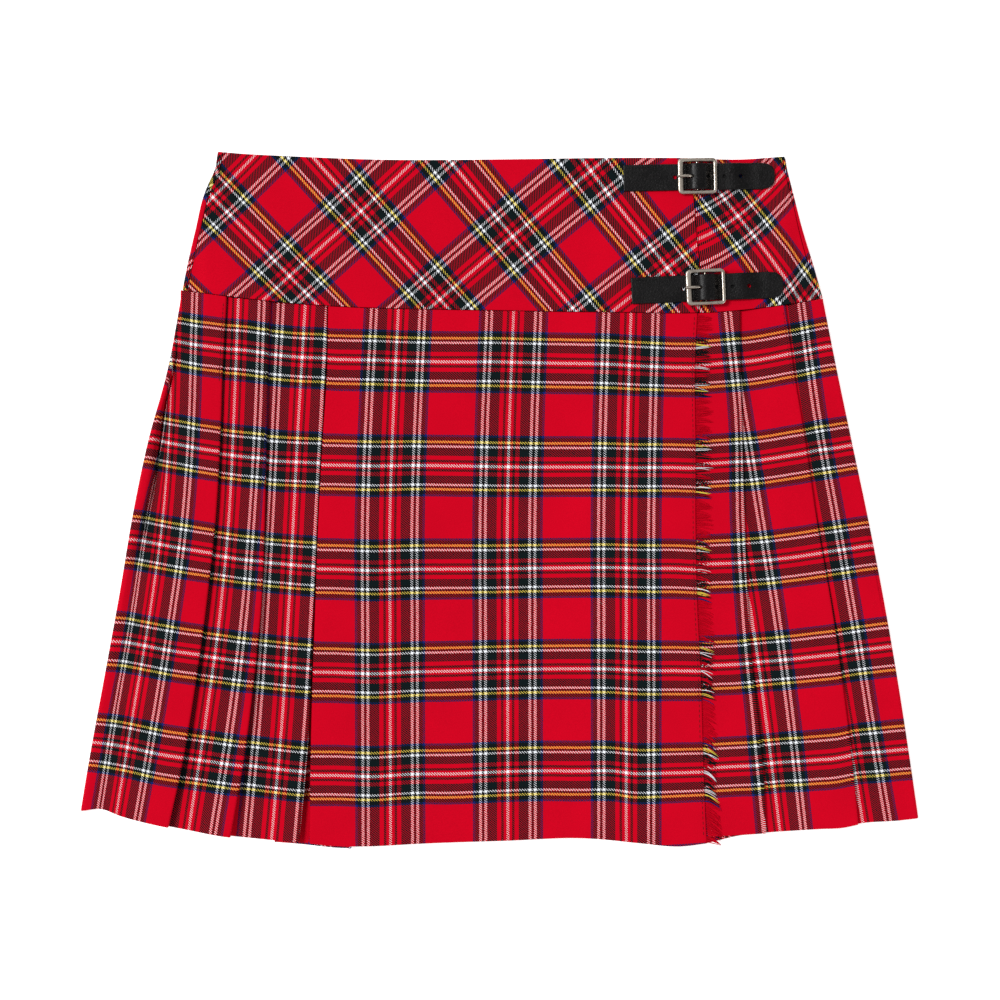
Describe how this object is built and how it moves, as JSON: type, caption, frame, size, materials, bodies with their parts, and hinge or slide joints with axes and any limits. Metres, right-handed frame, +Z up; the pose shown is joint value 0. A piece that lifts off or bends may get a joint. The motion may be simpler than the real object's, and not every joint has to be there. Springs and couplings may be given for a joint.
{
  "type": "tartan mini kilt laid flat",
  "caption": "Tartan wrap kilt laid flat: bias hip yoke, flat fringed apron, knife pleats at the sides and back, leather straps in square buckles at the hip.",
  "frame": {"origin": "middle of the kilt's outline, on the surface that it lies on", "axes": "+X towards the strap side (the viewer's right), +Y towards the waist, +Z up from the surface, out of the front of the kilt"},
  "size_m": [0.5449, 0.4523, 0.0173],
  "materials": {
    "tartan_cloth": "worsted twill in a red, black, blue, yellow and white tartan",
    "frayed_yarn": "loose weft yarns in the tartan's colours",
    "strap_leather": "black grained leather, satin",
    "buckle_metal": "nickel plate, slightly dulled"
  },
  "bodies": {
    "root": {"yoke_over": "tartan_cloth", "yoke_under": "tartan_cloth", "yoke_back": "tartan_cloth", "apron_over": "tartan_cloth", "apron_under": "tartan_cloth", "skirt_left": "tartan_cloth", "skirt_back": "tartan_cloth", "fringe": "frayed_yarn", "strap_upper": "strap_leather", "strap_lower": "strap_leather", "tab_upper": "strap_leather", "tab_lower": "strap_leather", "buckle_upper": "buckle_metal", "buckle_lower": "buckle_metal", "prong_upper": "buckle_metal", "prong_lower": "buckle_metal"}
  },
  "joints": []
}
